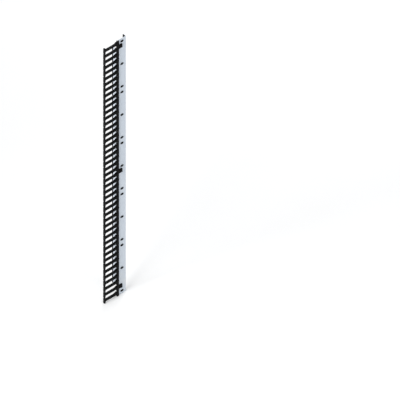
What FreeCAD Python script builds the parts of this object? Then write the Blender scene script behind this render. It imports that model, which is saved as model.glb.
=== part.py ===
import FreeCAD, Part
import math

V = FreeCAD.Vector

# Vertical cable manager for a rack cabinet: a tall folded steel channel, five black finger
# mouldings along its front corner, and three mounting blocks with captive screws.
# Working axes: +X faces the cabinet post, -Y is the front, where the fingers point, +Z is up.
# While the pieces are made, X = 0 is the channel's face, Y = 0 its rear edge, Z = 0 its foot.

# Rack grid
RACK_UNIT = 44.45
POST_HOLE_STEP = 15.875
MODULE_UNITS = 9
MODULES = 5

# Steel channel, folded from one sheet
PLATE_WIDTH = 80.0
SHEET = 2.0
BEND_RADIUS = 3.0
REAR_FLANGE = 25.0
FRONT_FLANGE = 43.0
FLANGE_CUT_BOTTOM = 85.0
FLANGE_CUT_TOP = 65.0

# Spine of a finger moulding, hooked round the channel's front corner
SPINE_DEPTH = 8.5
SPINE_COVER = 9.5
SPINE_FRONT_WALL = 5.0
MODULE_JOINT = 0.4

# Fingers
FINGER_REACH = 118.0
FINGER_WIDTH = 14.0
FINGER_HEIGHT = 15.0
TIP_THICKNESS = 11.0
TIP_GAP = 3.0
TIP_ROUND = 3.0
TIP_INNER_ROUND = 2.0
THROAT_FILLET = 5.0
EDGE_ROUND = 1.5
SWEEP_LENGTH = 40.0
SWEEP_REACH = 10.0

# Ears that reach behind the channel's web and take the module screws
EAR_UNITS = (0.5, 4.5, 8.5)
EAR_THICKNESS = 3.0
EAR_HEIGHT = 20.0
FASTENER_LINE = 37.4
EAR_END = 9.5
BOSS_DIAMETER = 14.0
BOSS_HEIGHT = 4.5
SLOT_CLEARANCE = 0.3

# Locating lugs on the spine's rear edge, with a peg in the web and a relief notch below
LUG_UNITS = (2.5, 6.5)
LUG_REACH = 5.0
LUG_DEPTH = 5.0
LUG_HEIGHT = 9.0
PEG_HEIGHT = 6.0
PEG_WIDTH = 2.4
PEG_CLEARANCE = 0.2
NOTCH_DROP = 14.0
NOTCH_HEIGHT = 7.0
NOTCH_DEPTH = 3.0

# Module screws, their clamp plates and nuts
M5 = 5.0
M5_HOLE = 5.5
M5_HEAD = 10.0
M5_HEAD_HEIGHT = 4.5
M5_FLANGE = 12.0
M5_FLANGE_HEIGHT = 1.2
M5_SOCKET = 3.0
M5_SOCKET_DEPTH = 2.0
M5_NUT = 8.0
M5_NUT_HEIGHT = 4.0
M5_TAIL = 1.5
CLAMP_LENGTH = 26.0
CLAMP_WIDTH = 14.0
CLAMP_THICKNESS = 2.5
CLAMP_RIM = 0.8
THREAD_CLEARANCE = 0.05
NUT_CLEARANCE = 0.1

# Mounting blocks
BLOCK_WIDTH = 30.0
BLOCK_HEIGHT = 28.0
BLOCK_DEPTH = SPINE_DEPTH
BLOCK_GAP = 1.0
BLOCK_ROUND = 2.5
BLOCK_RIM = 1.0
RECESS_DIAMETER = 13.0
RECESS_DEPTH = 2.7
DOWEL_DIAMETER = 4.0
DOWEL_SPACING = 18.0
DOWEL_CLEARANCE = 0.1

# Mounting screws, washers and retaining washers
M6 = 6.0
M6_THREAD = 12.0
M6_WAIST = 4.8
M6_WAIST_LENGTH = 2.4
M6_HOLE = 6.6
M6_HEAD = 10.0
M6_HEAD_HEIGHT = 6.0
M6_HEAD_ROUND = 0.8
M6_SOCKET = 5.0
M6_SOCKET_DEPTH = 3.0
M6_CHAMFER = (M6 - M6_WAIST) / 2
RUNNING_CLEARANCE = 0.05
WASHER_DIAMETER = 12.4
WASHER_BORE = 6.4
WASHER_THICKNESS = 1.6
RETAINER_DIAMETER = 11.0
RETAINER_THICKNESS = 1.5
RETAINER_GAP = 0.3

# Edge trims on the flanges
TRIM_WALL = 1.8
TRIM_END = 2.5
TRIM_GRIP = 6.5
TRIM_CLEARANCE = 0.05
REAR_COVER = REAR_FLANGE - SHEET - BEND_RADIUS

# Derived places
TOTAL_UNITS = MODULE_UNITS * MODULES
HEIGHT = TOTAL_UNITS * RACK_UNIT
FRONT_EDGE = -PLATE_WIDTH
SPINE_REAR = FRONT_EDGE + SPINE_COVER
SPINE_FRONT = FRONT_EDGE - SPINE_FRONT_WALL
EAR_BACK = -SHEET - EAR_THICKNESS
FINGER_BACK = SPINE_DEPTH - FINGER_WIDTH
TIP_FACE = SPINE_FRONT - FINGER_REACH
BLOCK_FRONT = SPINE_REAR + BLOCK_GAP
SCREW_LINE = BLOCK_FRONT + BLOCK_WIDTH / 2
PAST = 1.0


def post_hole(unit, hole):
    """Height of one of the three post holes of a rack unit, both counted from one."""
    return (unit - 0.5) * RACK_UNIT + (hole - 2) * POST_HOLE_STEP


BLOCK_PLACES = {
    "bottom": post_hole(2, 2),
    "middle": post_hole((TOTAL_UNITS - 1) // 2, 3),
    "top": post_hole(TOTAL_UNITS - 1, 3),
}
# The finished model's origin: the middle block's face, on its screw's axis.
ORIGIN = V(BLOCK_DEPTH, SCREW_LINE, BLOCK_PLACES["middle"])


def save(name, shape):
    """Write one piece, moved so that the model's origin is the middle mounting point."""
    placed = shape.copy()
    placed.translate(ORIGIN * -1)
    placed.exportStep("parts/" + name + ".step")


def box(x_low, x_high, y_low, y_high, z_low, z_high):
    """A box between two corners."""
    size = (x_high - x_low, y_high - y_low, z_high - z_low)
    return Part.makeBox(*size, V(x_low, y_low, z_low))


def rod(diameter, x_low, x_high, y, z):
    """A round bar along X."""
    return Part.makeCylinder(diameter / 2, x_high - x_low, V(x_low, y, z), V(1, 0, 0))


def hexagon(flats, x_low, x_high, y, z):
    """A hexagonal bar along X, given its width across flats."""
    corner = flats / math.sqrt(3)
    turns = [math.radians(60 * step) for step in range(7)]
    points = [V(x_low, y + corner * math.cos(a), z + corner * math.sin(a)) for a in turns]
    return Part.Face(Part.makePolygon(points)).extrude(V(x_high - x_low, 0, 0))


def rounded_face(corners):
    """A flat face from (point, radius) corners, each radius rounding its corner."""
    joints = []
    for index, (point, radius) in enumerate(corners):
        before = (corners[index - 1][0] - point).normalize()
        after = (corners[(index + 1) % len(corners)][0] - point).normalize()
        half = before.getAngle(after) / 2
        setback = radius / math.tan(half)
        start = point + before * setback
        end = point + after * setback
        inward = (before + after).normalize()
        middle = point + inward * (radius / math.sin(half) - radius)
        joints.append((start, middle, end, radius))
    edges = []
    for index, (start, middle, end, radius) in enumerate(joints):
        if radius > 0:
            edges.append(Part.Arc(start, middle, end).toShape())
        following = joints[(index + 1) % len(joints)][0]
        if (following - end).Length > 1e-6:
            edges.append(Part.LineSegment(end, following).toShape())
    return Part.Face(Part.Wire(edges))


def channel():
    """The steel channel: web, full-height rear flange and shorter front flange, with its holes."""
    inner = BEND_RADIUS - SHEET
    outline = [
        (V(-REAR_FLANGE, 0, 0), 0),
        (V(0, 0, 0), BEND_RADIUS),
        (V(0, FRONT_EDGE, 0), BEND_RADIUS),
        (V(-FRONT_FLANGE, FRONT_EDGE, 0), 0),
        (V(-FRONT_FLANGE, FRONT_EDGE + SHEET, 0), 0),
        (V(-SHEET, FRONT_EDGE + SHEET, 0), inner),
        (V(-SHEET, -SHEET, 0), inner),
        (V(-REAR_FLANGE, -SHEET, 0), 0),
    ]
    shape = rounded_face(outline).extrude(V(0, 0, HEIGHT))
    cut_x = (-FRONT_FLANGE - PAST, PAST)
    cut_y = (FRONT_EDGE - PAST, FRONT_EDGE + BEND_RADIUS)
    tools = [
        box(*cut_x, *cut_y, -PAST, FLANGE_CUT_BOTTOM),
        box(*cut_x, *cut_y, HEIGHT - FLANGE_CUT_TOP, HEIGHT + PAST),
    ]
    slot_half = EAR_HEIGHT / 2 + SLOT_CLEARANCE
    peg_half = PEG_HEIGHT / 2 + PEG_CLEARANCE
    for module in range(MODULES):
        base = module * MODULE_UNITS * RACK_UNIT
        for unit in EAR_UNITS:
            z = base + unit * RACK_UNIT
            tools.append(rod(M5_HOLE, -SHEET - PAST, PAST, -FASTENER_LINE, z))
            tools.append(box(EAR_BACK - SLOT_CLEARANCE, -SHEET, *cut_y, z - slot_half, z + slot_half))
        for unit in LUG_UNITS:
            z = base + unit * RACK_UNIT
            peg_end = SPINE_REAR + LUG_REACH + PEG_CLEARANCE
            peg_start = SPINE_REAR + LUG_REACH - PEG_WIDTH - PEG_CLEARANCE
            tools.append(box(-SHEET - PAST, PAST, peg_start, peg_end, z - peg_half, z + peg_half))
    for z in BLOCK_PLACES.values():
        tools.append(rod(M6_HOLE, -SHEET - PAST, PAST, SCREW_LINE, z))
        for side in (-1, 1):
            dowel_y = SCREW_LINE + side * DOWEL_SPACING / 2
            tools.append(rod(DOWEL_DIAMETER + 2 * DOWEL_CLEARANCE, -SHEET - PAST, PAST, dowel_y, z))
    return shape.cut(tools)


def finger():
    """One T-tipped finger at height zero, with the swept gusset at its root."""
    bar = FINGER_HEIGHT / 2
    tip = (RACK_UNIT - TIP_GAP) / 2
    inside = TIP_FACE + TIP_THICKNESS
    half = [
        (SPINE_FRONT + PAST, bar, 0),
        (inside, bar, THROAT_FILLET),
        (inside, tip, TIP_INNER_ROUND),
        (TIP_FACE, tip, TIP_ROUND),
    ]
    mirrored = [(y, -z, radius) for y, z, radius in reversed(half)]
    outline = [(V(FINGER_BACK, y, z), radius) for y, z, radius in half + mirrored]
    blade = rounded_face(outline).extrude(V(FINGER_WIDTH, 0, 0))
    rims = []
    for edge in blade.Edges:
        bounds = edge.BoundBox
        if bounds.XLength < 1e-6 and bounds.YMax < SPINE_FRONT + PAST + 1e-6 and bounds.YMin < SPINE_FRONT:
            rims.append(edge)
    blade = blade.makeFillet(EDGE_ROUND, rims)
    return blade.fuse(sweep())


def sweep():
    """The gusset that widens a finger's root backwards along one arc, seen in plan."""
    start = V(FINGER_BACK, FRONT_EDGE - SWEEP_LENGTH, 0)
    end = V(FINGER_BACK - SWEEP_REACH, FRONT_EDGE, 0)
    radius = (SWEEP_LENGTH**2 + SWEEP_REACH**2) / (2 * SWEEP_REACH)
    centre = V(FINGER_BACK - radius, start.y, 0)
    half_turn = math.asin(SWEEP_LENGTH / radius) / 2
    middle = centre + V(math.cos(half_turn), math.sin(half_turn), 0) * radius
    inner = V(0, FRONT_EDGE, 0)
    far = V(0, start.y, 0)
    edges = [
        Part.Arc(start, middle, end).toShape(),
        Part.LineSegment(end, inner).toShape(),
        Part.LineSegment(inner, far).toShape(),
        Part.LineSegment(far, start).toShape(),
    ]
    gusset = Part.Face(Part.Wire(edges)).extrude(V(0, 0, FINGER_HEIGHT))
    gusset.translate(V(0, 0, -FINGER_HEIGHT / 2))
    return gusset


def ear(z):
    """One ear behind the web, with the boss that holds a nut."""
    low = z - EAR_HEIGHT / 2
    high = z + EAR_HEIGHT / 2
    strip = box(EAR_BACK, -SHEET, FRONT_EDGE, EAR_END - FASTENER_LINE, low, high)
    return strip.fuse(rod(BOSS_DIAMETER, EAR_BACK - BOSS_HEIGHT, EAR_BACK, -FASTENER_LINE, z))


def ear_cut(z):
    """What is cut from an ear: the screw's hole and the nut's pocket."""
    hole = rod(M5_HOLE, EAR_BACK - PAST, PAST, -FASTENER_LINE, z)
    pocket = hexagon(M5_NUT + 2 * NUT_CLEARANCE, EAR_BACK - BOSS_HEIGHT - PAST, EAR_BACK, -FASTENER_LINE, z)
    return hole.fuse(pocket)


def lug(z):
    """One locating lug on the spine's rear edge, with its peg in the web."""
    end = SPINE_REAR + LUG_REACH
    body = box(0, LUG_DEPTH, SPINE_REAR, end, z - LUG_HEIGHT / 2, z + LUG_HEIGHT / 2)
    peg = box(-SHEET, 0, end - PEG_WIDTH, end, z - PEG_HEIGHT / 2, z + PEG_HEIGHT / 2)
    return body.fuse(peg)


def finger_module(index):
    """One moulding: spine, fingers, ears and lugs, at its place on the channel."""
    base = index * MODULE_UNITS * RACK_UNIT
    low = base + MODULE_JOINT / 2
    high = base + MODULE_UNITS * RACK_UNIT - MODULE_JOINT / 2
    solids = [box(EAR_BACK, 0, SPINE_FRONT, FRONT_EDGE, low, high)]
    template = finger()
    for row in range(MODULE_UNITS):
        blade = template.copy()
        blade.translate(V(0, 0, base + (row + 0.5) * RACK_UNIT))
        solids.append(blade)
    for unit in EAR_UNITS:
        solids.append(ear(base + unit * RACK_UNIT))
    for unit in LUG_UNITS:
        solids.append(lug(base + unit * RACK_UNIT))
    shape = box(0, SPINE_DEPTH, SPINE_FRONT, SPINE_REAR, low, high).fuse(solids)
    tools = [ear_cut(base + unit * RACK_UNIT) for unit in EAR_UNITS]
    for unit in LUG_UNITS:
        top = base + unit * RACK_UNIT - NOTCH_DROP
        notch_y = (SPINE_REAR - NOTCH_DEPTH, SPINE_REAR + PAST)
        tools.append(box(0, SPINE_DEPTH + PAST, *notch_y, top - NOTCH_HEIGHT, top))
    return shape.cut(tools).removeSplitter()


def module_screw(z):
    """A flanged button screw: its head on the clamp plate, its tail through the nut."""
    shoulder = CLAMP_THICKNESS + M5_FLANGE_HEIGHT
    top = CLAMP_THICKNESS + M5_HEAD_HEIGHT
    tail = EAR_BACK - M5_NUT_HEIGHT - M5_TAIL
    crown = rod(M5_HEAD, shoulder, top, -FASTENER_LINE, z)
    crown = crown.makeFillet((top - shoulder) * 0.8, [crown.Edges[0]])
    shape = crown.fuse([
        rod(M5_FLANGE, CLAMP_THICKNESS, shoulder, -FASTENER_LINE, z),
        rod(M5, tail, CLAMP_THICKNESS, -FASTENER_LINE, z),
    ])
    socket = hexagon(M5_SOCKET, top - M5_SOCKET_DEPTH, top + PAST, -FASTENER_LINE, z)
    return shape.cut(socket).removeSplitter()


def clamp_plate(z):
    """An oblong plate that spreads a module screw's grip over the web's face."""
    reach = (CLAMP_LENGTH - CLAMP_WIDTH) / 2
    half = CLAMP_WIDTH / 2
    middle = box(0, CLAMP_THICKNESS, -FASTENER_LINE - reach, -FASTENER_LINE + reach, z - half, z + half)
    ends = [rod(CLAMP_WIDTH, 0, CLAMP_THICKNESS, -FASTENER_LINE + side * reach, z) for side in (-1, 1)]
    shape = middle.fuse(ends).removeSplitter()
    rim = [edge for edge in shape.Edges if edge.BoundBox.XMin > CLAMP_THICKNESS / 2]
    shape = shape.makeFillet(CLAMP_RIM, rim)
    return shape.cut(rod(M5_HOLE, -PAST, CLAMP_THICKNESS + PAST, -FASTENER_LINE, z))


def module_nut(z):
    """A hexagon nut seated in an ear's pocket."""
    blank = hexagon(M5_NUT, EAR_BACK - M5_NUT_HEIGHT, EAR_BACK, -FASTENER_LINE, z)
    bore = rod(M5 + 2 * THREAD_CLEARANCE, EAR_BACK - M5_NUT_HEIGHT - PAST, EAR_BACK + PAST, -FASTENER_LINE, z)
    return blank.cut(bore)


def mounting_block(z):
    """A spacer block on the web's face, with its screw bore, washer recess and two dowels."""
    half = BLOCK_HEIGHT / 2
    rear = BLOCK_FRONT + BLOCK_WIDTH
    corners = [(BLOCK_FRONT, -half), (rear, -half), (rear, half), (BLOCK_FRONT, half)]
    face = rounded_face([(V(0, y, z + dz), BLOCK_ROUND) for y, dz in corners])
    shape = face.extrude(V(BLOCK_DEPTH, 0, 0))
    rim = [edge for edge in shape.Edges if edge.BoundBox.XMin > BLOCK_DEPTH / 2]
    shape = shape.makeFillet(BLOCK_RIM, rim)
    dowels = []
    for side in (-1, 1):
        dowels.append(rod(DOWEL_DIAMETER, -SHEET, 0, SCREW_LINE + side * DOWEL_SPACING / 2, z))
    shape = shape.fuse(dowels)
    bore = rod(M6 + 2 * RUNNING_CLEARANCE, -PAST, BLOCK_DEPTH + PAST, SCREW_LINE, z)
    recess = rod(RECESS_DIAMETER, BLOCK_DEPTH - RECESS_DEPTH, BLOCK_DEPTH + PAST, SCREW_LINE, z)
    return shape.cut([bore, recess])


def flat_washer(z):
    """A steel washer between the web's back and the mounting screw's head."""
    disc = rod(WASHER_DIAMETER, -SHEET - WASHER_THICKNESS, -SHEET, SCREW_LINE, z)
    bore = rod(WASHER_BORE, -SHEET - WASHER_THICKNESS - PAST, PAST, SCREW_LINE, z)
    return disc.cut(bore)


def mounting_screw(z):
    """A captive socket head screw: plain shank in the block, waist, and thread past its face."""
    seat = -SHEET - WASHER_THICKNESS - RUNNING_CLEARANCE
    head_end = seat - M6_HEAD_HEIGHT
    thread_start = BLOCK_DEPTH - M6_CHAMFER
    waist_start = thread_start - M6_WAIST_LENGTH
    head = rod(M6_HEAD, head_end, seat, SCREW_LINE, z)
    rim = [edge for edge in head.Edges if edge.BoundBox.XMax < seat - M6_HEAD_ROUND]
    head = head.makeFillet(M6_HEAD_ROUND, rim)
    thread = rod(M6, thread_start, BLOCK_DEPTH + M6_THREAD + M6_CHAMFER, SCREW_LINE, z)
    rims = [edge for edge in thread.Edges if edge.BoundBox.XLength < 1e-6]
    thread = thread.makeChamfer(M6_CHAMFER, rims)
    shape = head.fuse([
        rod(M6, seat, waist_start, SCREW_LINE, z),
        rod(M6_WAIST, waist_start, thread_start, SCREW_LINE, z),
        thread,
    ])
    socket = hexagon(M6_SOCKET, head_end - PAST, head_end + M6_SOCKET_DEPTH, SCREW_LINE, z)
    return shape.cut(socket)


def retaining_washer(z):
    """A nylon washer snapped over the thread onto the waist, in the block's recess."""
    seat = BLOCK_DEPTH - RECESS_DEPTH + RETAINER_GAP
    disc = rod(RETAINER_DIAMETER, seat, seat + RETAINER_THICKNESS, SCREW_LINE, z)
    bore = rod(M6_WAIST + 2 * THREAD_CLEARANCE, seat - PAST, seat + RETAINER_THICKNESS + PAST, SCREW_LINE, z)
    return disc.cut(bore)


def edge_trim(middle, depth, cover, low, high):
    """An edge guard pushed onto the free edge of a flange of this depth, centred on the sheet.

    Its lip on the side towards the front covers this much of the flange.
    """
    slit = SHEET + 2 * TRIM_CLEARANCE
    outer = slit / 2 + TRIM_WALL
    tail = -depth - TRIM_END
    grip = -depth + TRIM_GRIP
    outline = [
        (V(tail, middle - outer, low), TRIM_WALL),
        (V(-depth + cover, middle - outer, low), 0),
        (V(-depth + cover, middle - slit / 2, low), 0),
        (V(-depth, middle - slit / 2, low), 0),
        (V(-depth, middle + slit / 2, low), 0),
        (V(grip, middle + slit / 2, low), 0),
        (V(grip, middle + outer, low), 0),
        (V(tail, middle + outer, low), TRIM_WALL),
    ]
    return rounded_face(outline).extrude(V(0, 0, high - low))


save("back_channel", channel())
front_middle = FRONT_EDGE + SHEET / 2
save("front_edge_trim", edge_trim(front_middle, FRONT_FLANGE, TRIM_GRIP, FLANGE_CUT_BOTTOM, HEIGHT - FLANGE_CUT_TOP))
save("rear_edge_trim", edge_trim(-SHEET / 2, REAR_FLANGE, REAR_COVER, 0, HEIGHT))
for number in range(MODULES):
    name = "module_" + str(number + 1)
    heights = [(number * MODULE_UNITS + unit) * RACK_UNIT for unit in EAR_UNITS]
    save("finger_" + name, finger_module(number))
    save(name + "_screws", Part.Compound([module_screw(z) for z in heights]))
    save(name + "_plates", Part.Compound([clamp_plate(z) for z in heights]))
    save(name + "_nuts", Part.Compound([module_nut(z) for z in heights]))
for place, height in BLOCK_PLACES.items():
    save(place + "_mounting_block", mounting_block(height))
    save(place + "_flat_washer", flat_washer(height))
    save(place + "_mounting_screw", mounting_screw(height))
    save(place + "_retaining_washer", retaining_washer(height))
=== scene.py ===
import bmesh
import bpy
import math
from mathutils import Matrix, Vector


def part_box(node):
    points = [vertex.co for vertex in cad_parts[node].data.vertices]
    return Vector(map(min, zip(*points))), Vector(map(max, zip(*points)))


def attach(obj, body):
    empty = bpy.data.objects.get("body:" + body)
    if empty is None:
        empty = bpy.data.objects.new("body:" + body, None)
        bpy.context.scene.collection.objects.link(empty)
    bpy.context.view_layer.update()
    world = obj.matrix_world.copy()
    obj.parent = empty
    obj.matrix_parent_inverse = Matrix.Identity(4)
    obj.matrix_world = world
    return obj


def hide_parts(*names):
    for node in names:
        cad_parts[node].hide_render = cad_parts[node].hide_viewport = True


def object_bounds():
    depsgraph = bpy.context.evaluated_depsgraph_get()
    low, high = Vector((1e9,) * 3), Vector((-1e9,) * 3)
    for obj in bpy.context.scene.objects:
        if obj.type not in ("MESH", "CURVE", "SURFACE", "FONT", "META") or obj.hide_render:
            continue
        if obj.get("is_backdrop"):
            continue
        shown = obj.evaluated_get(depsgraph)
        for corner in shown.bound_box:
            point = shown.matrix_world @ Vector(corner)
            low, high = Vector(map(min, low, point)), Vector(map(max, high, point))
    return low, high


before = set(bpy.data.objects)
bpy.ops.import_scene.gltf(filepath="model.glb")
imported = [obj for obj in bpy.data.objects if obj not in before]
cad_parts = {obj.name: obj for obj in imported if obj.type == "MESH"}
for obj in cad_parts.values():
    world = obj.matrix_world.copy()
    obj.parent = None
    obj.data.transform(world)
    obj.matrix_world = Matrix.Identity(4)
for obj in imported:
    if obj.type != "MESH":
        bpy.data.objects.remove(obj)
cad_low, cad_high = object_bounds()


# The channel: one sheet of 2 mm steel, pierced and folded to a web and two flanges, then powder
# coated a pale blue-grey. Its face carries everything else; the CAD piece has its true shape.
CHANNEL_COLOUR = (0.600, 0.655, 0.722, 1)
CHANNEL_DEEP = (0.560, 0.616, 0.684, 1)
CHANNEL_RUBBED = (0.420, 0.440, 0.460, 1)
CHANNEL_DUST = (0.640, 0.660, 0.680, 1)
PEEL_SCALE = 420.0
PEEL_DEEP = 0.00006
FLECK_FINER = 2.2
FLECK_SHARE = 0.3
CLOUD_SCALE = 3.0
CLOUD_STARTS = 0.3
CLOUD_WHOLE = 0.7
COAT_GLOSSY = 0.40
COAT_MATT = 0.58
WEAR_REACH = 0.0022
WEAR_BREAKUP = 90.0
WEAR_EDGE_SHARE = 0.5
WEAR_STARTS = 0.88
WEAR_WHOLE = 1.02
WEAR_METAL = 0.6
DUST_HIGH = 0.25
DUST_SCALE = 14.0
DUST_STARTS = 0.42
DUST_WHOLE = 0.68


def add(tree, kind, inputs=None, **settings):
    """One node of a tree: settings on the node, values or links on its inputs."""
    made = tree.nodes.new(kind)
    for name, value in settings.items():
        setattr(made, name, value)
    for key, value in (inputs or {}).items():
        if isinstance(value, bpy.types.NodeSocket):
            tree.links.new(value, made.inputs[key])
        else:
            made.inputs[key].default_value = value
    return made


def new_tree(name, kind, inputs, outputs):
    """A node group with its sockets, and its input and output nodes."""
    tree = bpy.data.node_groups.new(name, kind)
    sockets = [(socket, "INPUT", sort, value) for socket, sort, value in inputs]
    sockets += [(socket, "OUTPUT", sort, None) for socket, sort in outputs]
    for socket, way, sort, value in sockets:
        made = tree.interface.new_socket(socket, in_out=way, socket_type="NodeSocket" + sort)
        if value is not None:
            made.default_value = value
    given = tree.nodes.new("NodeGroupInput").outputs
    result = tree.nodes.new("NodeGroupOutput").inputs
    return tree, given, result


def math_node(tree, operation, first, second=0.0):
    """The result of one sum."""
    return add(tree, "ShaderNodeMath", {0: first, 1: second}, operation=operation).outputs[0]


def vector_node(tree, operation, first, second):
    """The result of one sum of vectors."""
    inputs = {0: first, 1: second}
    return add(tree, "ShaderNodeVectorMath", inputs, operation=operation).outputs[0]


def noise(tree, place, scale, detail, roughness=0.5):
    """The value of a fractal noise."""
    inputs = {"Vector": place, "Scale": scale, "Detail": detail, "Roughness": roughness}
    return add(tree, "ShaderNodeTexNoise", inputs).outputs[0]


def smooth_step(tree, value, low, high):
    """Zero below low, one above high, eased between."""
    inputs = {"Value": value, "From Min": low, "From Max": high}
    return add(tree, "ShaderNodeMapRange", inputs, interpolation_type="SMOOTHSTEP").outputs[0]


def spread(tree, value, low, high):
    """A value between zero and one, spread between low and high."""
    inputs = {"Value": value, "To Min": low, "To Max": high}
    return add(tree, "ShaderNodeMapRange", inputs).outputs[0]


def build_edge_wear():
    """Worn where two of a box's faces are both near, broken up by noise."""
    tree, given, result = new_tree(
        "edge_wear", "ShaderNodeTree",
        [("Low", "Vector", None), ("High", "Vector", None)]
        + [("Reach", "Float", WEAR_REACH), ("Breakup", "Float", WEAR_BREAKUP)],
        [("Worn", "Float")],
    )
    place = add(tree, "ShaderNodeTexCoord").outputs["Object"]
    from_low = vector_node(tree, "SUBTRACT", place, given["Low"])
    from_high = vector_node(tree, "SUBTRACT", given["High"], place)
    nearest = vector_node(tree, "MINIMUM", from_low, from_high)
    depth = add(tree, "ShaderNodeSeparateXYZ", {0: nearest}).outputs
    small = math_node(tree, "MINIMUM", depth[0], depth[1])
    large = math_node(tree, "MAXIMUM", depth[0], depth[1])
    second = math_node(tree, "MAXIMUM", small, math_node(tree, "MINIMUM", large, depth[2]))
    closeness = math_node(tree, "SUBTRACT", 1.0, math_node(tree, "DIVIDE", second, given["Reach"]))
    edge = math_node(tree, "MULTIPLY", closeness, WEAR_EDGE_SHARE)
    mixed = math_node(tree, "ADD", edge, noise(tree, place, given["Breakup"], detail=5.0))
    tree.links.new(smooth_step(tree, mixed, WEAR_STARTS, WEAR_WHOLE), result["Worn"])
    return tree


def build_powder_coat():
    """The orange peel and the slight clouding of a baked powder coat."""
    tree, given, result = new_tree(
        "powder_coat", "ShaderNodeTree",
        [("Peel Scale", "Float", PEEL_SCALE), ("Cloud Scale", "Float", CLOUD_SCALE)],
        [("Height", "Float"), ("Cloud", "Float"), ("Roughness", "Float")],
    )
    place = add(tree, "ShaderNodeTexCoord").outputs["Object"]
    peel = noise(tree, place, given["Peel Scale"], detail=2.0)
    finer = math_node(tree, "MULTIPLY", given["Peel Scale"], FLECK_FINER)
    fleck = add(tree, "ShaderNodeTexVoronoi", {"Vector": place, "Scale": finer}).outputs[0]
    flecks = math_node(tree, "MULTIPLY", fleck, FLECK_SHARE)
    cloud = noise(tree, place, given["Cloud Scale"], detail=6.0)
    tree.links.new(math_node(tree, "ADD", peel, flecks), result["Height"])
    tree.links.new(smooth_step(tree, cloud, CLOUD_STARTS, CLOUD_WHOLE), result["Cloud"])
    tree.links.new(spread(tree, cloud, COAT_GLOSSY, COAT_MATT), result["Roughness"])
    return tree


edge_wear = build_edge_wear()
powder_coat = build_powder_coat()


def new_material(name):
    """A material with a bare Principled shader."""
    material = bpy.data.materials.new(name)
    material.use_nodes = True
    tree = material.node_tree
    tree.nodes.clear()
    shader = tree.nodes.new("ShaderNodeBsdfPrincipled")
    output = tree.nodes.new("ShaderNodeOutputMaterial")
    tree.links.new(shader.outputs[0], output.inputs[0])
    return material, tree, shader


def blend_colour(tree, factor, first, second):
    """Two colours mixed by a factor."""
    inputs = {"Factor": factor, 6: first, 7: second}
    return add(tree, "ShaderNodeMix", inputs, data_type="RGBA").outputs[2]


def set_bump(tree, shader, height, distance):
    """Raises the surface by a height over the given distance."""
    bump = add(tree, "ShaderNodeBump", {"Height": height, "Distance": distance})
    tree.links.new(bump.outputs[0], shader.inputs["Normal"])


def worn_edges(tree, node, reach, breakup):
    """The wear along the edges of a node's box."""
    group = add(tree, "ShaderNodeGroup", node_tree=edge_wear)
    low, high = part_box(node)
    group.inputs["Low"].default_value = low
    group.inputs["High"].default_value = high
    group.inputs["Reach"].default_value = reach
    group.inputs["Breakup"].default_value = breakup
    return group.outputs["Worn"]


def painted_steel(node):
    """Pale blue-grey powder coat, rubbed through a little on the folds and ends."""
    material, tree, shader = new_material("blue_grey_powder_coat")
    coat = add(tree, "ShaderNodeGroup", node_tree=powder_coat)
    worn = worn_edges(tree, node, WEAR_REACH, WEAR_BREAKUP)
    clouded = blend_colour(tree, coat.outputs["Cloud"], CHANNEL_DEEP, CHANNEL_COLOUR)
    place = add(tree, "ShaderNodeTexCoord").outputs["Object"]
    height = add(tree, "ShaderNodeSeparateXYZ", {0: place}).outputs[2]
    foot = smooth_step(tree, height, cad_low.z + DUST_HIGH, cad_low.z)
    scuff = noise(tree, place, DUST_SCALE, detail=8.0, roughness=0.7)
    settled = smooth_step(tree, scuff, DUST_STARTS, DUST_WHOLE)
    dust = math_node(tree, "MULTIPLY", foot, settled)
    dusted = blend_colour(tree, dust, clouded, CHANNEL_DUST)
    tree.links.new(blend_colour(tree, worn, dusted, CHANNEL_RUBBED), shader.inputs["Base Color"])
    tree.links.new(math_node(tree, "MULTIPLY", worn, WEAR_METAL), shader.inputs["Metallic"])
    tree.links.new(coat.outputs["Roughness"], shader.inputs["Roughness"])
    set_bump(tree, shader, coat.outputs["Height"], PEEL_DEEP)
    return material


def dress(node, material):
    """Gives a CAD node its finish."""
    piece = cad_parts[node]
    piece.data.materials.clear()
    piece.data.materials.append(material)


dress("back_channel", painted_steel("back_channel"))


# The edge trims: black vinyl guards pushed onto the free edges of both flanges, so that the cut
# steel doesn't chafe the cables. The rear one's wide black inner lip covers the inside of its
# flange and is partly painted shade: a dark sheet standing in for the shade that falls inside the
# rear flange. They are extruded, and the CAD pieces have their true shape.
TRIM_COLOUR = (0.0035, 0.0035, 0.0037, 1)
TRIM_RUBBED = (0.0090, 0.0090, 0.0095, 1)
TRIM_GRAIN = 500.0
TRIM_GRAIN_DEEP = 0.00004
SCUFF_SCALE = 35.0
SCUFF_STARTS = 0.5
SCUFF_WHOLE = 0.75
SKIN_GLOSSY = 0.5
SKIN_MATT = 0.72
SKIN_SHINE = 0.06


def build_moulded_skin():
    """The fine spark-eroded grain, scuffing and uneven gloss of a black moulding."""
    tree, given, result = new_tree(
        "moulded_skin", "ShaderNodeTree",
        [("Grain Scale", "Float", TRIM_GRAIN), ("Scuff Scale", "Float", SCUFF_SCALE)],
        [("Height", "Float"), ("Scuffed", "Float"), ("Roughness", "Float")],
    )
    place = add(tree, "ShaderNodeTexCoord").outputs["Object"]
    scuff = noise(tree, place, given["Scuff Scale"], detail=7.0, roughness=0.65)
    tree.links.new(noise(tree, place, given["Grain Scale"], detail=3.0), result["Height"])
    tree.links.new(smooth_step(tree, scuff, SCUFF_STARTS, SCUFF_WHOLE), result["Scuffed"])
    tree.links.new(spread(tree, scuff, SKIN_GLOSSY, SKIN_MATT), result["Roughness"])
    return tree


moulded_skin = build_moulded_skin()


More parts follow.
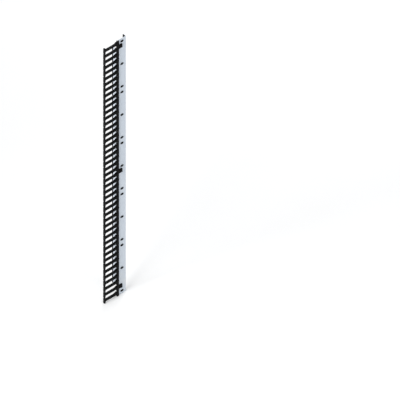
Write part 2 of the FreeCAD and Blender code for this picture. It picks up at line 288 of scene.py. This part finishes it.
def black_moulding(name, colour, rubbed, grain, grain_deep):
    """Black plastic or rubber with a fine grain, greyed where it is scuffed."""
    material, tree, shader = new_material(name)
    skin = add(tree, "ShaderNodeGroup", node_tree=moulded_skin)
    skin.inputs["Grain Scale"].default_value = grain
    tint = blend_colour(tree, skin.outputs["Scuffed"], colour, rubbed)
    tree.links.new(tint, shader.inputs["Base Color"])
    tree.links.new(skin.outputs["Roughness"], shader.inputs["Roughness"])
    shader.inputs["Specular IOR Level"].default_value = SKIN_SHINE
    set_bump(tree, shader, skin.outputs["Height"], grain_deep)
    return material, tree, shader, tint


vinyl = black_moulding(
    "vinyl_edge_trim", TRIM_COLOUR, TRIM_RUBBED, TRIM_GRAIN, TRIM_GRAIN_DEEP
)[0]
dress("front_edge_trim", vinyl)
# The rear trim's wide black lip is painted shade: a dark sheet over the inside of the rear flange.
dress("rear_edge_trim", vinyl)


# The finger combs: five black nylon mouldings, one above another on the channel's front corner.
# Each has a spine hooked round the corner, nine T-tipped fingers, one to a rack unit, swept back
# onto the front flange at their roots, and three ears that reach behind the web for the screws.
COMB_COLOUR = (0.0030, 0.0030, 0.0032, 1)
COMB_RUBBED = (0.0080, 0.0080, 0.0084, 1)
TIP_POLISHED = (0.0140, 0.0140, 0.0145, 1)
COMB_GRAIN = 700.0
COMB_GRAIN_DEEP = 0.00005
POLISH_LONG = 0.012
POLISH_SCALE = 120.0
POLISH_STARTS = 0.45
POLISH_WHOLE = 0.65
MM = 0.001
MODULES = 5
MODULE_JOINT = 0.4
UNIT = 44.45
FINGERS = 9
FIRST_FINGER = 0.5
EARS = 3
FIRST_EAR = 0.5
LUGS = 2
FIRST_LUG = 2.5
BAY_UNITS = 4.0
FINGER_THICK = 14.0
FINGER_HALF = 7.5
FINGER_EDGE = 1.5
TIP_THICK = 11.0
TIP_HALF = 20.725
TIP_ROUND = 3.0
TIP_INNER_ROUND = 2.0
THROAT_ROUND = 5.0
SPINE_WIDE = 14.5
SPINE_DEEP = 8.5
SPINE_WALL = 5.0
SPINE_EDGE = 0.8
SPINE_ROUND = 1.2
HOOK_ROUND = 1.0
WEB_THICK = 2.0
SWEEP_LONG = 40.0
SWEEP_DEEP = 10.0
SWEEP_STEPS = 8
EAR_THICK = 3.0
EAR_HALF = 10.0
EAR_ROUND = 2.0
EAR_EDGE = 0.4
SCREW_INSET = 42.6
EAR_PAST_SCREW = 9.5
EAR_LONG = SCREW_INSET + EAR_PAST_SCREW
BOSS_WIDE = 14.0
BOSS_DEEP = 4.5
BOSS_EDGE = 0.5
POCKET_FLATS = 8.2
SCREW_HOLE = 5.5
HOLE_LONG = 9.0
LUG_LONG = 5.0
LUG_DEEP = 5.0
LUG_HALF = 4.5
LUG_ROUND = 1.0
LUG_EDGE = 0.8
PEG_WIDE = 2.4
PEG_HALF = 3.0
NOTCH_DROP = 17.5
NOTCH_HALF = 3.5
NOTCH_DEEP = 3.0
NOTCH_ROUND = 1.0
NOTCH_BELOW = 0.5
SUNK = 1.0
EAR_SUNK = 2.0
GUSSET_SUNK = 5.0
CUT_PAST = 2.0
ROUND_STEPS = 4
SHARP_OVER = math.radians(32)


def rounded(corners):
    """A flat outline from (across, up, radius) corners, in millimetres."""
    points = []
    for index, (across, up, radius) in enumerate(corners):
        here = Vector((across, up))
        before = (Vector(corners[index - 1][:2]) - here).normalized()
        after = (Vector(corners[(index + 1) % len(corners)][:2]) - here).normalized()
        half = math.acos(max(-1.0, min(1.0, before.dot(after)))) / 2
        centre = here + (before + after).normalized() * (radius / math.sin(half))
        start = here + before * (radius / math.tan(half)) - centre
        end = here + after * (radius / math.tan(half)) - centre
        turn = math.atan2(start.x * end.y - start.y * end.x, start.dot(end))
        angle = math.atan2(start.y, start.x)
        for step in range(ROUND_STEPS + 1 if radius else 1):
            at = angle + turn * step / ROUND_STEPS
            points.append((centre.x + radius * math.cos(at), centre.y + radius * math.sin(at)))
    return points


def round_outline(across, up, radius, sides=32):
    """A circle as an outline."""
    turns = [2 * math.pi * side / sides for side in range(sides)]
    return [(across + radius * math.cos(turn), up + radius * math.sin(turn)) for turn in turns]


def prism(name, outline, low, high, rim=0.0, upright=False):
    """A bar of this outline along X, or Z if upright, its end rims rounded, as an object."""
    work = bmesh.new()
    loops = []
    for place in (low, high):
        corners = [(a, b, place) if upright else (place, a, b) for a, b in outline]
        loops.append([work.verts.new(Vector(corner) * MM) for corner in corners])
    ends = [work.faces.new(loop) for loop in loops]
    for index in range(len(outline)):
        before = index - 1
        work.faces.new((loops[0][before], loops[0][index], loops[1][index], loops[1][before]))
    bmesh.ops.recalc_face_normals(work, faces=work.faces)
    if rim:
        rims = list({edge for end in ends for edge in end.edges})
        bmesh.ops.bevel(work, geom=rims, offset=rim * MM, segments=2, profile=0.5, affect="EDGES")
    return to_object(name, work)


def to_object(name, work):
    """The finished bmesh as an object at the origin."""
    mesh = bpy.data.meshes.new(name)
    work.to_mesh(mesh)
    work.free()
    piece = bpy.data.objects.new(name, mesh)
    bpy.context.collection.objects.link(piece)
    return piece


def realized(tree, geometry):
    """Geometry with its instances made real."""
    return add(tree, "GeometryNodeRealizeInstances", {0: geometry}).outputs[0]


def stacked(tree, piece, count, first, step):
    """Copies of an object, one above another from a first height."""
    shape = add(tree, "GeometryNodeObjectInfo", {"Object": piece}).outputs["Geometry"]
    start = add(tree, "ShaderNodeCombineXYZ", {"Z": first}).outputs[0]
    offset = add(tree, "ShaderNodeCombineXYZ", {"Z": step}).outputs[0]
    inputs = {"Count": count, "Start Location": start, "Offset": offset}
    line = add(tree, "GeometryNodeMeshLine", inputs).outputs[0]
    copies = add(tree, "GeometryNodeInstanceOnPoints", {"Points": line, "Instance": shape})
    return realized(tree, copies.outputs[0])


def combined(tree, operation, body, tools):
    """Solids fused together, or tools cut from a body."""
    inputs = {} if body is None else {0: body}
    made = add(tree, "GeometryNodeMeshBoolean", inputs, operation=operation, solver="MANIFOLD")
    for tool in tools:
        tree.links.new(tool, made.inputs[1])
    return made.outputs[0]


def put_out(tree, geometry, material, result):
    """Ends a tree with real geometry that has its material."""
    inputs = {"Geometry": realized(tree, geometry), "Material": material}
    finish = add(tree, "GeometryNodeSetMaterial", inputs)
    tree.links.new(finish.outputs[0], result[0])


def build_comb_tree():
    """Fingers, ears and lugs at their rack units, fused to the spine; notches and pockets cut."""
    joined = ("Spine", "Hook", "Finger", "Gusset", "Ear", "Boss", "Lug", "Peg")
    tree, given, result = new_tree(
        "finger_comb", "GeometryNodeTree",
        [(name, "Object", None) for name in joined + ("Hole", "Pocket", "Notch")]
        + [("Fingers", "Int", FINGERS), ("Pitch", "Float", UNIT * MM), ("Foot", "Float", 0.0)]
        + [("Notch Drop", "Float", NOTCH_DROP * MM), ("Material", "Material", None)],
        [("Geometry", "Geometry")],
    )
    pitch, foot = given["Pitch"], given["Foot"]

    def height(units):
        return math_node(tree, "ADD", foot, math_node(tree, "MULTIPLY", pitch, units))

    bay = math_node(tree, "MULTIPLY", pitch, BAY_UNITS)

    def all_of(names, count, first, step):
        return [stacked(tree, given[name], count, first, step) for name in names]

    solids = all_of(("Spine", "Hook"), 1, foot, 0.0)
    solids += all_of(("Finger", "Gusset"), given["Fingers"], height(FIRST_FINGER), pitch)
    solids += all_of(("Ear", "Boss"), EARS, height(FIRST_EAR), bay)
    solids += all_of(("Lug", "Peg"), LUGS, height(FIRST_LUG), bay)
    tools = all_of(("Hole", "Pocket"), EARS, height(FIRST_EAR), bay)
    below = math_node(tree, "SUBTRACT", height(FIRST_LUG), given["Notch Drop"])
    tools += all_of(("Notch",), LUGS, below, bay)
    comb = combined(tree, "DIFFERENCE", combined(tree, "UNION", None, solids), tools)
    put_out(tree, comb, given["Material"], result)
    return tree


def made_by(name, tree, **values):
    """A plain mesh piece made once by a Geometry Nodes tree with these inputs."""
    piece = to_object(name, bmesh.new())
    modifier = piece.modifiers.new(tree.name, "NODES")
    modifier.node_group = tree
    for item in tree.interface.items_tree:
        if item.item_type == "SOCKET" and item.in_out == "INPUT" and item.name in values:
            modifier[item.identifier] = values[item.name]
    graph = bpy.context.evaluated_depsgraph_get()
    mesh = bpy.data.meshes.new_from_object(piece.evaluated_get(graph), depsgraph=graph)
    piece.modifiers.clear()
    piece.data = mesh
    mesh.name = name
    shade(mesh)
    return piece


def shade(mesh):
    """Smooth over shallow angles, sharp over steep ones."""
    mesh.shade_smooth()
    mesh.set_sharp_from_angle(angle=SHARP_OVER)


def stand_for(piece, node, body):
    """Puts a finished piece in the place of its CAD node."""
    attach(piece, body)
    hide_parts(node)


def tongue(root, end, half, radius):
    """The outline of a strip from a square root to a rounded end."""
    return rounded([(root, -half, 0), (end, -half, radius), (end, half, radius), (root, half, 0)])


def comb_pieces():
    """The shapes that a comb is put together from, seen against the web's front corner."""
    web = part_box("back_channel")[1].x / MM
    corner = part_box("back_channel")[0].y / MM
    spine_front = corner - SPINE_WALL
    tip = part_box("finger_module_1")[0].y / MM
    inside = tip + TIP_THICK
    outer = web + SPINE_DEEP
    back = outer - FINGER_THICK
    low = MODULE_JOINT / 2
    high = FINGERS * UNIT - MODULE_JOINT / 2
    half = [(corner - SUNK, FINGER_HALF, 0), (inside, FINGER_HALF, THROAT_ROUND)]
    half += [(inside, TIP_HALF, TIP_INNER_ROUND), (tip, TIP_HALF, TIP_ROUND)]
    blade = rounded(half + [(y, -z, radius) for y, z, radius in reversed(half)])
    radius = (SWEEP_LONG**2 + SWEEP_DEEP**2) / (2 * SWEEP_DEEP)
    plan = [(back + GUSSET_SUNK, corner - SWEEP_LONG), (back + GUSSET_SUNK, corner)]
    for step in range(SWEEP_STEPS + 1):
        y = SWEEP_LONG * (1 - step / SWEEP_STEPS)
        plan.append((back - radius + math.sqrt(radius**2 - y**2), corner - SWEEP_LONG + y))
    strip = tongue(corner - EAR_SUNK, corner + EAR_LONG, EAR_HALF, EAR_ROUND)
    screw = corner + SCREW_INSET
    inner = web - WEB_THICK
    behind = inner - EAR_THICK
    boss = round_outline(screw, 0, BOSS_WIDE / 2)
    hole = round_outline(screw, 0, SCREW_HOLE / 2)
    pocket = round_outline(screw, 0, POCKET_FLATS / math.sqrt(3), sides=6)
    rear = spine_front + SPINE_WIDE
    end = rear + LUG_LONG
    root = end - PEG_WIDE
    lug = tongue(rear - SUNK, end, LUG_HALF, LUG_ROUND)
    peg = [(root, -PEG_HALF), (end, -PEG_HALF), (end, PEG_HALF), (root, PEG_HALF)]
    floor, mouth = rear - NOTCH_DEEP, rear + CUT_PAST
    notch = [(floor, -NOTCH_HALF, NOTCH_ROUND), (mouth, -NOTCH_HALF, 0)]
    notch += [(mouth, NOTCH_HALF, 0), (floor, NOTCH_HALF, NOTCH_ROUND)]
    cover = [(web, corner - SUNK, 0), (outer, corner - SUNK, 0)]
    cover += [(outer, rear, SPINE_ROUND), (web, rear, 0)]
    hook = [(behind, spine_front, HOOK_ROUND), (outer, spine_front, SPINE_ROUND)]
    hook += [(outer, corner, 0), (behind, corner, 0)]
    return {
        "Spine": prism("spine", rounded(cover), low, high, SPINE_EDGE, upright=True),
        "Hook": prism("hook", rounded(hook), low, high, SPINE_EDGE, upright=True),
        "Finger": prism("finger", blade, back, outer, FINGER_EDGE),
        "Gusset": prism("gusset", plan, -FINGER_HALF, FINGER_HALF, FINGER_EDGE, upright=True),
        "Ear": prism("ear", strip, behind, inner, EAR_EDGE),
        "Boss": prism("boss", boss, behind - BOSS_DEEP, behind + SUNK, BOSS_EDGE),
        "Lug": prism("lug", lug, web, web + LUG_DEEP, LUG_EDGE),
        "Peg": prism("peg", peg, inner, web + SUNK),
        "Hole": prism("hole", hole, behind - HOLE_LONG, web),
        "Pocket": prism("pocket", pocket, behind - HOLE_LONG, behind),
        "Notch": prism("notch", rounded(notch), web - NOTCH_BELOW, outer + CUT_PAST),
    }


def comb_nylon():
    """Black moulded nylon, polished grey at the finger tips where cables are pushed past."""
    material, tree, shader, tint = black_moulding(
        "comb_nylon", COMB_COLOUR, COMB_RUBBED, COMB_GRAIN, COMB_GRAIN_DEEP
    )
    place = add(tree, "ShaderNodeTexCoord").outputs["Object"]
    across = add(tree, "ShaderNodeSeparateXYZ", {0: place}).outputs[1]
    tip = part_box("finger_module_1")[0].y
    near = smooth_step(tree, across, tip + POLISH_LONG, tip)
    patches = noise(tree, place, POLISH_SCALE, detail=6.0, roughness=0.7)
    patchy = smooth_step(tree, patches, POLISH_STARTS, POLISH_WHOLE)
    polished = math_node(tree, "MULTIPLY", near, patchy)
    tree.links.new(blend_colour(tree, polished, tint, TIP_POLISHED), shader.inputs["Base Color"])
    return material


nylon = comb_nylon()
comb_tree = build_comb_tree()
comb_shapes = comb_pieces()
for number in range(1, MODULES + 1):
    node = f"finger_module_{number}"
    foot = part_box(node)[0].z - MODULE_JOINT / 2 * MM
    comb = made_by(f"finger_comb_{number}", comb_tree, **comb_shapes, Material=nylon, Foot=foot)
    stand_for(comb, node, "manager")
for shape in comb_shapes.values():
    bpy.data.objects.remove(shape)


# The module screws: three black flanged button heads for each comb, M5, driven with a hexagon key
# through a clamp plate and the web into the nuts. They are cold headed, rolled and zinc plated.
ZINC_BLACK = (0.006, 0.006, 0.0065, 1)
ZINC_BLACK_RUBBED = (0.020, 0.020, 0.021, 1)
HEAD_WIDE = 12.0
HEAD_HIGH = 4.5
FLANGE_THICK = 1.2
FLANGE_EDGE_IN = 0.4
FLANGE_EDGE_DOWN = 0.3
CROWN_WIDE = 10.0
CROWN_FLAT = 5.0
CROWN_STEPS = 5
KEY_FLATS = 3.0
KEY_DEEP = 2.0
SHANK_WIDE = 5.0
SHANK_PLAIN = 9.5
THREAD_PITCH = 0.8
THREAD_DEEP = 0.4
THREAD_FLANK = 1.3
TAIL_LONG = 13.0
TAIL_TAPER = 0.5
TAIL_IN = 0.6
FASTENER_SIDES = 24
CLAMP_THICK = 2.5
MARK_SCALE = 2500.0
MARK_DEEP = 0.00001
MARK_STRETCH = (1.0, 0.08, 0.08)
PASSIVE_SCALE = 160.0
PASSIVE_STARTS = 0.35
PASSIVE_WHOLE = 0.7
PLATING_GLOSSY = 0.28
PLATING_MATT = 0.5
BLACK_METAL = 0.9


def build_plating():
    """Thin zinc plating: turning marks round X, faint cloudy passivation and wear."""
    tree, given, result = new_tree(
        "zinc_plating", "ShaderNodeTree",
        [("Mark Scale", "Float", MARK_SCALE), ("Cloud Scale", "Float", PASSIVE_SCALE)],
        [("Height", "Float"), ("Cloud", "Float"), ("Roughness", "Float")],
    )
    place = add(tree, "ShaderNodeTexCoord").outputs["Object"]
    stretched = vector_node(tree, "MULTIPLY", place, MARK_STRETCH)
    cloud = noise(tree, place, given["Cloud Scale"], detail=5.0)
    tree.links.new(noise(tree, stretched, given["Mark Scale"], detail=2.0), result["Height"])
    tree.links.new(smooth_step(tree, cloud, PASSIVE_STARTS, PASSIVE_WHOLE), result["Cloud"])
    tree.links.new(spread(tree, cloud, PLATING_GLOSSY, PLATING_MATT), result["Roughness"])
    return tree


zinc_plating = build_plating()


def plated(name, colour, clouded, metal):
    """Zinc-plated steel, its colour clouding from one tone to the other."""
    material, tree, shader = new_material(name)
    skin = add(tree, "ShaderNodeGroup", node_tree=zinc_plating)
    tint = blend_colour(tree, skin.outputs["Cloud"], colour, clouded)
    tree.links.new(tint, shader.inputs["Base Color"])
    tree.links.new(skin.outputs["Roughness"], shader.inputs["Roughness"])
    shader.inputs["Metallic"].default_value = metal
    set_bump(tree, shader, skin.outputs["Height"], MARK_DEEP)
    return material


def turned(name, rings, sides, closed=False):
    """A shell round X: each ring is (place, radius), the radius a number or a rule of the angle."""
    work = bmesh.new()
    loops = []
    for place, radius in rings:
        loop = []
        for side in range(sides):
            turn = 2 * math.pi * side / sides
            reach = radius(turn) if callable(radius) else radius
            point = Vector((place, reach * math.cos(turn), reach * math.sin(turn)))
            loop.append(work.verts.new(point * MM))
        loops.append(loop)
    for before, after in zip(loops, loops[1:] + loops[:1] if closed else loops[1:]):
        for side in range(sides):
            work.faces.new((before[side - 1], before[side], after[side], after[side - 1]))
    if not closed:
        work.faces.new(loops[0])
        work.faces.new(loops[-1])
    bmesh.ops.recalc_face_normals(work, faces=work.faces)
    return to_object(name, work)


def six_sided(flats):
    """The radius of a hexagon at each angle."""
    return lambda turn: flats / 2 / math.cos(turn % (math.pi / 3) - math.pi / 6)


def threads(start, end, major, pitch, depth, steps=4):
    """Rings whose radius follows a helical thread between two places."""
    rings = []
    count = round(abs(end - start) / pitch * steps)
    for index in range(count + 1):
        place = start + (end - start) * index / count

        def radius(turn, place=place):
            phase = (place / pitch - turn / (2 * math.pi)) % 1
            return major - depth * min(1.0, abs(2 * phase - 1) * THREAD_FLANK)
        rings.append((place, radius))
    return rings


def build_row_tree():
    """One fastener repeated up the channel at even steps."""
    tree, given, result = new_tree(
        "fastener_row", "GeometryNodeTree",
        [("Fastener", "Object", None), ("Count", "Int", EARS), ("First", "Float", 0.0)]
        + [("Step", "Float", 0.0), ("Place", "Vector", None), ("Material", "Material", None)],
        [("Geometry", "Geometry")],
    )
    row = stacked(tree, given["Fastener"], given["Count"], given["First"], given["Step"])
    inputs = {"Geometry": row, "Translation": given["Place"]}
    moved = add(tree, "GeometryNodeTransform", inputs).outputs[0]
    put_out(tree, moved, given["Material"], result)
    return tree


def button_screw():
    """One flanged button screw, its seat at X = 0 and its tail at -X."""
    rings = [(HEAD_HIGH - KEY_DEEP, six_sided(KEY_FLATS)), (HEAD_HIGH, six_sided(KEY_FLATS))]
    rise = HEAD_HIGH - FLANGE_THICK
    for step in range(CROWN_STEPS + 1):
        turn = math.pi / 2 * step / CROWN_STEPS
        reach = CROWN_FLAT + (CROWN_WIDE - CROWN_FLAT) * math.sin(turn)
        rings.append((FLANGE_THICK + rise * math.cos(turn), reach / 2))
    edge = HEAD_WIDE / 2
    shank = SHANK_WIDE / 2
    rings += [(FLANGE_THICK, edge - FLANGE_EDGE_IN), (FLANGE_THICK - FLANGE_EDGE_DOWN, edge)]
    rings += [(0, edge), (0, shank)]
    rings += threads(-SHANK_PLAIN, -TAIL_LONG + TAIL_TAPER, shank, THREAD_PITCH, THREAD_DEEP)
    rings.append((-TAIL_LONG, shank - TAIL_IN))
    return turned("button_screw", rings, FASTENER_SIDES)


row_tree = build_row_tree()
black_zinc = plated("black_zinc", ZINC_BLACK, ZINC_BLACK_RUBBED, BLACK_METAL)
screw_shape = button_screw()
web_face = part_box("back_channel")[1].x
for number in range(1, MODULES + 1):
    node = f"module_{number}_screws"
    low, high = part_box(node)
    first = low.z + HEAD_WIDE / 2 * MM
    step = (high.z - HEAD_WIDE / 2 * MM - first) / (EARS - 1)
    place = Vector((web_face + CLAMP_THICK * MM, (low.y + high.y) / 2, 0))
    screws = made_by(
        f"comb_{number}_screws", row_tree,
        Fastener=screw_shape, First=first, Step=step, Place=place, Material=black_zinc,
    )
    stand_for(screws, node, "manager")
bpy.data.objects.remove(screw_shape)


# The clamp plates: oblong black plates that spread the grip of the module screws over the web.
# They are stamped from 2.5 mm steel, tumbled and plated like the screws; the CAD shape is true.
for number in range(1, MODULES + 1):
    dress(f"module_{number}_plates", black_zinc)


# The nuts: bright zinc M5 hexagon nuts, chamfered on both faces and dropped into the ears' pockets
# behind the web, where the pocket stops them turning.
NUT_FLATS = 8.0
NUT_HIGH = 4.0
NUT_CHAMFER = 0.5
NUT_FACE_IN = 0.1
NUT_PLAY = 0.05
NUT_LEAD = 0.35
ZINC = (0.56, 0.58, 0.60, 1)
ZINC_DULL = (0.42, 0.44, 0.47, 1)
BRIGHT_METAL = 1.0


def hexagon_nut():
    """One nut from X = 0 to its height, with its bore and its chamfers."""
    bore = SHANK_WIDE / 2 + NUT_PLAY
    face = NUT_FLATS / 2 - NUT_FACE_IN
    rings = [(0, bore + NUT_LEAD), (0, face), (NUT_CHAMFER, six_sided(NUT_FLATS))]
    rings += [(NUT_HIGH - NUT_CHAMFER, six_sided(NUT_FLATS)), (NUT_HIGH, face)]
    rings += [(NUT_HIGH, bore + NUT_LEAD), (NUT_HIGH - NUT_LEAD, bore), (NUT_LEAD, bore)]
    return turned("hexagon_nut", rings, FASTENER_SIDES, closed=True)


bright_zinc = plated("bright_zinc", ZINC, ZINC_DULL, BRIGHT_METAL)
nut_shape = hexagon_nut()
nut_step = BAY_UNITS * UNIT * MM
for number in range(1, MODULES + 1):
    node = f"module_{number}_nuts"
    low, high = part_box(node)
    first = (low.z + high.z - (EARS - 1) * nut_step) / 2
    place = Vector((low.x, (low.y + high.y) / 2, 0))
    nuts = made_by(
        f"comb_{number}_nuts", row_tree,
        Fastener=nut_shape, First=first, Step=nut_step, Place=place, Material=bright_zinc,
    )
    stand_for(nuts, node, "manager")
bpy.data.objects.remove(nut_shape)


# The mounting blocks: black moulded spacers, each on two dowels in the web, with a recess for the
# retaining washer. Their flat outer faces are the seats of the whole part. The CAD shape is true.
BLOCK_COLOUR = (0.0035, 0.0035, 0.0037, 1)
BLOCK_RUBBED = (0.0090, 0.0090, 0.0095, 1)
BLOCK_GRAIN = 650.0
BLOCK_GRAIN_DEEP = 0.00005
BLOCK_WEAR_REACH = 0.0020
BLOCK_WEAR_BREAKUP = 260.0
PLACES = ("bottom", "middle", "top")
for place in PLACES:
    node = f"{place}_mounting_block"
    material, tree, shader, tint = black_moulding(
        f"{place}_block_plastic", BLOCK_COLOUR, BLOCK_RUBBED, BLOCK_GRAIN, BLOCK_GRAIN_DEEP
    )
    wear = worn_edges(tree, node, BLOCK_WEAR_REACH, BLOCK_WEAR_BREAKUP)
    tree.links.new(blend_colour(tree, wear, tint, TIP_POLISHED), shader.inputs["Base Color"])
    dress(node, material)


# The flat washers: plain bright zinc washers between the back of the web and the screw heads.
# They are stamped; the CAD shape is true.
for place in PLACES:
    dress(f"{place}_flat_washer", bright_zinc)


# The mounting screws: captive M6 socket head screws, black zinc plated. The plain shank turns in
# the block, the waist holds the retaining washer, and the thread stands out of the outer face.
CAP_WIDE = 10.0
CAP_HIGH = 6.0
CAP_KEY_FLATS = 5.0
CAP_KEY_DEEP = 3.0
CAP_KEY_LEAD = 0.25
CAP_KEY_FLARE = 0.5
CAP_ROUND = 0.8
CAP_ROUND_STEPS = 3
CAP_SEAT_IN = 0.3
CAP_SEAT_FLARE = 0.001
KNURL_DEEP = 0.14
KNURL_FROM_ROUND = 0.3
KNURL_FROM_SEAT = 0.7
NECK_FROM_SEAT = 0.4
NECK_IN = 0.1
BOLT_WIDE = 6.0
BOLT_PITCH = 1.0
BOLT_THREAD = 12.0
BOLT_THREAD_DEEP = 0.55
BOLT_THREAD_STEPS = 6
WAIST_WIDE = 4.8
WAIST_LONG = 2.4
BOLT_TAPER = 0.6
BOLT_SIDES = 48


def cap_screw(name, node):
    """One knurled socket cap screw with its waist and its rolled thread, at its node's place."""
    low, high = (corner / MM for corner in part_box(node))
    head = low.x
    seat = head + CAP_HIGH
    rim, shank, waist = CAP_WIDE / 2, BOLT_WIDE / 2, WAIST_WIDE / 2
    thread_start, thread_end = high.x - BOLT_TAPER - BOLT_THREAD, high.x - BOLT_TAPER
    waist_end = thread_start - BOLT_TAPER
    key = six_sided(CAP_KEY_FLATS)
    rings = [(head + CAP_KEY_DEEP, key), (head + CAP_KEY_LEAD, key)]
    rings.append((head, six_sided(CAP_KEY_FLATS + CAP_KEY_FLARE)))
    for step in range(CAP_ROUND_STEPS + 1):
        turn = math.pi / 2 * step / CAP_ROUND_STEPS
        down, inward = CAP_ROUND * (1 - math.cos(turn)), CAP_ROUND * (1 - math.sin(turn))
        rings.append((head + down, rim - inward))

    def knurled(turn):
        return rim - KNURL_DEEP * (round(turn / (2 * math.pi) * BOLT_SIDES) % 2)

    rings += [(head + CAP_ROUND + KNURL_FROM_ROUND, knurled), (seat - KNURL_FROM_SEAT, knurled)]
    rings += [(seat - NECK_FROM_SEAT, rim - NECK_IN), (seat, rim - CAP_SEAT_IN)]
    rings += [(seat, shank + CAP_SEAT_FLARE), (waist_end - WAIST_LONG, shank)]
    rings += [(waist_end - WAIST_LONG, waist), (waist_end, waist)]
    rings += threads(
        waist_end + BOLT_TAPER, thread_end, shank, BOLT_PITCH, BOLT_THREAD_DEEP, BOLT_THREAD_STEPS
    )
    rings.append((high.x, waist))
    piece = turned(name, rings, BOLT_SIDES)
    axis = Vector((0, (low.y + high.y) / 2, (low.z + high.z) / 2))
    piece.data.transform(Matrix.Translation(axis * MM))
    piece.data.materials.append(black_zinc)
    shade(piece.data)
    return piece


for place in PLACES:
    node = f"{place}_mounting_screw"
    stand_for(cap_screw(f"{place}_cap_screw", node), node, f"{place}_screw")


# The retaining washers: black nylon washers snapped over the thread onto the waist of each screw,
# in the block's recess, so that the screw can't fall out. The CAD shape is true.
WASHER_COLOUR = (0.0040, 0.0040, 0.0040, 1)
WASHER_RUBBED = (0.0120, 0.0120, 0.0120, 1)
WASHER_GRAIN = 1200.0
WASHER_GRAIN_DEEP = 0.00002
washer_nylon = black_moulding(
    "washer_nylon", WASHER_COLOUR, WASHER_RUBBED, WASHER_GRAIN, WASHER_GRAIN_DEEP
)[0]
for place in PLACES:
    dress(f"{place}_retaining_washer", washer_nylon)


# The studio: a plain pale floor under the foot, large soft lamps, and a slanted parallel view that
# looks down over the channel's face with the fingers to the lower left.
WHITE = (1, 1, 1, 1)
FLOOR_SIZE = 30.0
FLOOR_COLOUR = (0.80, 0.80, 0.80, 1)
FLOOR_PATCH = (0.77, 0.77, 0.77, 1)
FLOOR_MOTTLE = 1.5
FLOOR_MATT = 0.9
FLOOR_LIFT = 0.14
FLOOR_FAR_LIFT = 0.62
FLOOR_NEAR = 0.5
FLOOR_FAR = 8.0
LAMP_SIZE = 3.0
LAMP_AWAY = 5.0
ROOM_LIGHT = 0.35
ROOM_COLOUR = (0.96, 0.98, 1.0, 1)
VIEW_TURN = math.radians(45)
VIEW_LIFT = math.asin(1 / math.sqrt(3))
VIEW_AWAY = 7.0
VIEW_CLIP = 60.0
VIEW_HEIGHT = 2.562
VIEW_PIXELS = 400
CORNER_PIXEL = (126.0, 290.7)


def seen_directly(tree):
    """One for rays that show the background itself."""
    path = tree.nodes.new("ShaderNodeLightPath").outputs
    seen = math_node(tree, "MAXIMUM", path["Is Camera Ray"], path["Is Glossy Ray"])
    return math_node(tree, "MAXIMUM", seen, path["Is Transmission Ray"])


def lay_floor():
    """A wide pale floor that the camera sees as white, with the soft shadow kept."""
    mesh = bpy.data.meshes.new("floor")
    half = FLOOR_SIZE / 2
    foot = cad_low.z
    corners = [(-half, -half, foot), (half, -half, foot), (half, half, foot), (-half, half, foot)]
    mesh.from_pydata(corners, [], [(0, 1, 2, 3)])
    material, tree, shader = new_material("pale_floor")
    place = add(tree, "ShaderNodeTexCoord").outputs["Object"]
    mottle = noise(tree, place, FLOOR_MOTTLE, detail=4.0)
    tint = blend_colour(tree, mottle, FLOOR_PATCH, FLOOR_COLOUR)
    tree.links.new(tint, shader.inputs["Base Color"])
    shader.inputs["Roughness"].default_value = FLOOR_MATT
    shader.inputs["Specular IOR Level"].default_value = 0.0
    shader.inputs["Emission Color"].default_value = WHITE
    inputs = {0: place, 1: (0, 0, foot)}
    reach = add(tree, "ShaderNodeVectorMath", inputs, operation="DISTANCE").outputs["Value"]
    inputs = {"Value": reach, "From Min": FLOOR_NEAR, "From Max": FLOOR_FAR}
    inputs |= {"To Min": FLOOR_LIFT, "To Max": FLOOR_FAR_LIFT}
    lift = add(tree, "ShaderNodeMapRange", inputs, interpolation_type="SMOOTHSTEP").outputs[0]
    glow = math_node(tree, "MULTIPLY", seen_directly(tree), lift)
    tree.links.new(glow, shader.inputs["Emission Strength"])
    mesh.materials.append(material)
    floor = bpy.data.objects.new("floor", mesh)
    bpy.context.collection.objects.link(floor)
    floor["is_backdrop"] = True


def hang_lamp(name, turn, lift, power):
    """A large square lamp aimed at the middle of the piece."""
    data = bpy.data.lights.new(name, "AREA")
    data.energy = power
    data.size = LAMP_SIZE
    lamp = bpy.data.objects.new(name, data)
    bpy.context.collection.objects.link(lamp)
    turn, lift = math.radians(turn), math.radians(lift)
    level = math.cos(lift)
    away = Vector((math.sin(turn) * level, -math.cos(turn) * level, math.sin(lift)))
    lamp.location = away * LAMP_AWAY
    lamp.rotation_euler = away.to_track_quat("Z", "Y").to_euler()


lay_floor()
hang_lamp("front_lamp", turn=5, lift=25, power=300)
hang_lamp("face_lamp", turn=85, lift=30, power=85)
hang_lamp("rear_lamp", turn=205, lift=40, power=110)

world = bpy.data.worlds.new("studio")
bpy.context.scene.world = world
world.use_nodes = True
sky = world.node_tree
sky.nodes.clear()
room = add(sky, "ShaderNodeBackground", {"Color": ROOM_COLOUR, "Strength": ROOM_LIGHT}).outputs[0]
backdrop = add(sky, "ShaderNodeBackground", {"Color": WHITE, "Strength": 1.0}).outputs[0]
chosen = add(sky, "ShaderNodeMixShader", {0: seen_directly(sky), 1: room, 2: backdrop})
add(sky, "ShaderNodeOutputWorld", {"Surface": chosen.outputs[0]})

bpy.context.scene.view_settings.view_transform = "Standard"

view = bpy.data.cameras.new("view")
view.type = "ORTHO"
view.ortho_scale = VIEW_HEIGHT
view.clip_end = VIEW_CLIP
camera = bpy.data.objects.new("view", view)
bpy.context.collection.objects.link(camera)
camera.rotation_euler = (math.pi / 2 - VIEW_LIFT, 0, VIEW_TURN)
turned_to = camera.rotation_euler.to_matrix()
channel_low, channel_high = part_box("back_channel")
corner = Vector((channel_high.x, channel_high.y, channel_low.z))
pixel = VIEW_HEIGHT / VIEW_PIXELS
across = VIEW_PIXELS / 2 - CORNER_PIXEL[0]
up = CORNER_PIXEL[1] - VIEW_PIXELS / 2
shift = turned_to @ Vector((across, up, 0)) * pixel
camera.location = corner + shift + turned_to @ Vector((0, 0, VIEW_AWAY))
bpy.context.scene.camera = camera

low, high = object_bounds()
